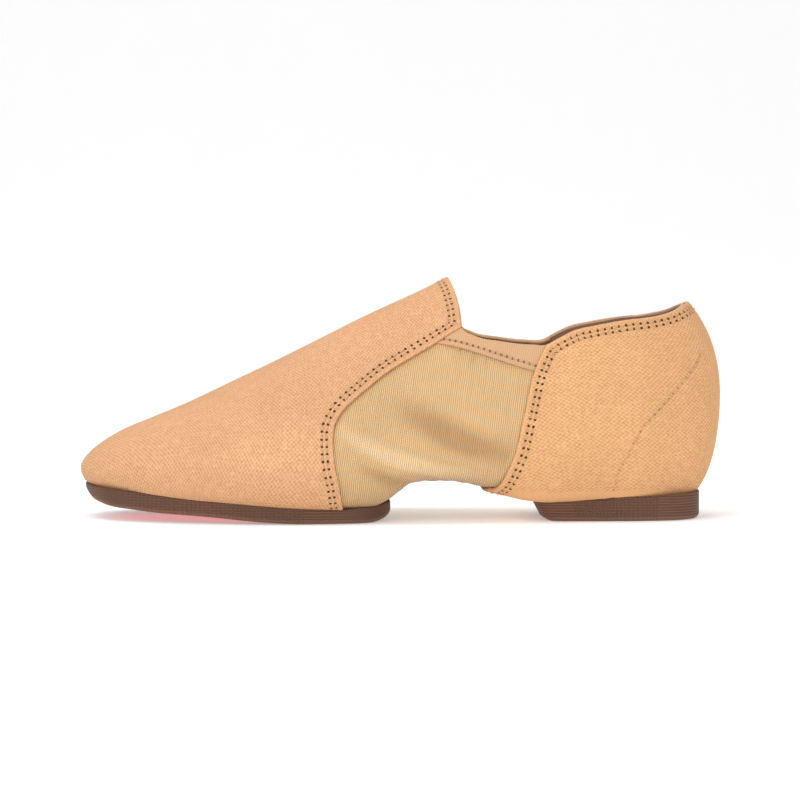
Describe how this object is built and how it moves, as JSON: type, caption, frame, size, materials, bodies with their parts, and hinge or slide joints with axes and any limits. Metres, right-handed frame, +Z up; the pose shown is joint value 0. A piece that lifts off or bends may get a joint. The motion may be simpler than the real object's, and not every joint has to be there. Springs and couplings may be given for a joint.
{
  "type": "jazz shoe",
  "caption": "Slip-on canvas jazz shoe for the left foot with a stretch gusset, a low collar and a split rubber sole.",
  "frame": {"origin": "centre of the shoe's box at the floor, under the waist", "axes": "+X from toe to heel, +Y to the medial side of the left foot, +Z up"},
  "size_m": [0.245, 0.0884, 0.0913],
  "materials": {
    "stretch_satin": "satin stretch weave with fine upright ribs",
    "canvas": "matte cotton canvas, diamond weave",
    "canvas_quarter": "matte cotton canvas, diamond weave",
    "stretch_band": "folded stretch binding",
    "insole_cloth": "brushed sock lining",
    "gum_rubber": "matte moulded rubber with a fine knurl",
    "red_rubber": "smooth moulded rubber with fine ribs"
  },
  "bodies": {
    "root": {"upper": "stretch_satin", "vamp": "canvas", "quarter": "canvas_quarter", "band_lateral": "stretch_band", "band_medial": "stretch_band", "insole": "insole_cloth", "outsole_forefoot": "gum_rubber", "outsole_heel": "gum_rubber", "pivot_insert": "red_rubber"}
  },
  "joints": []
}
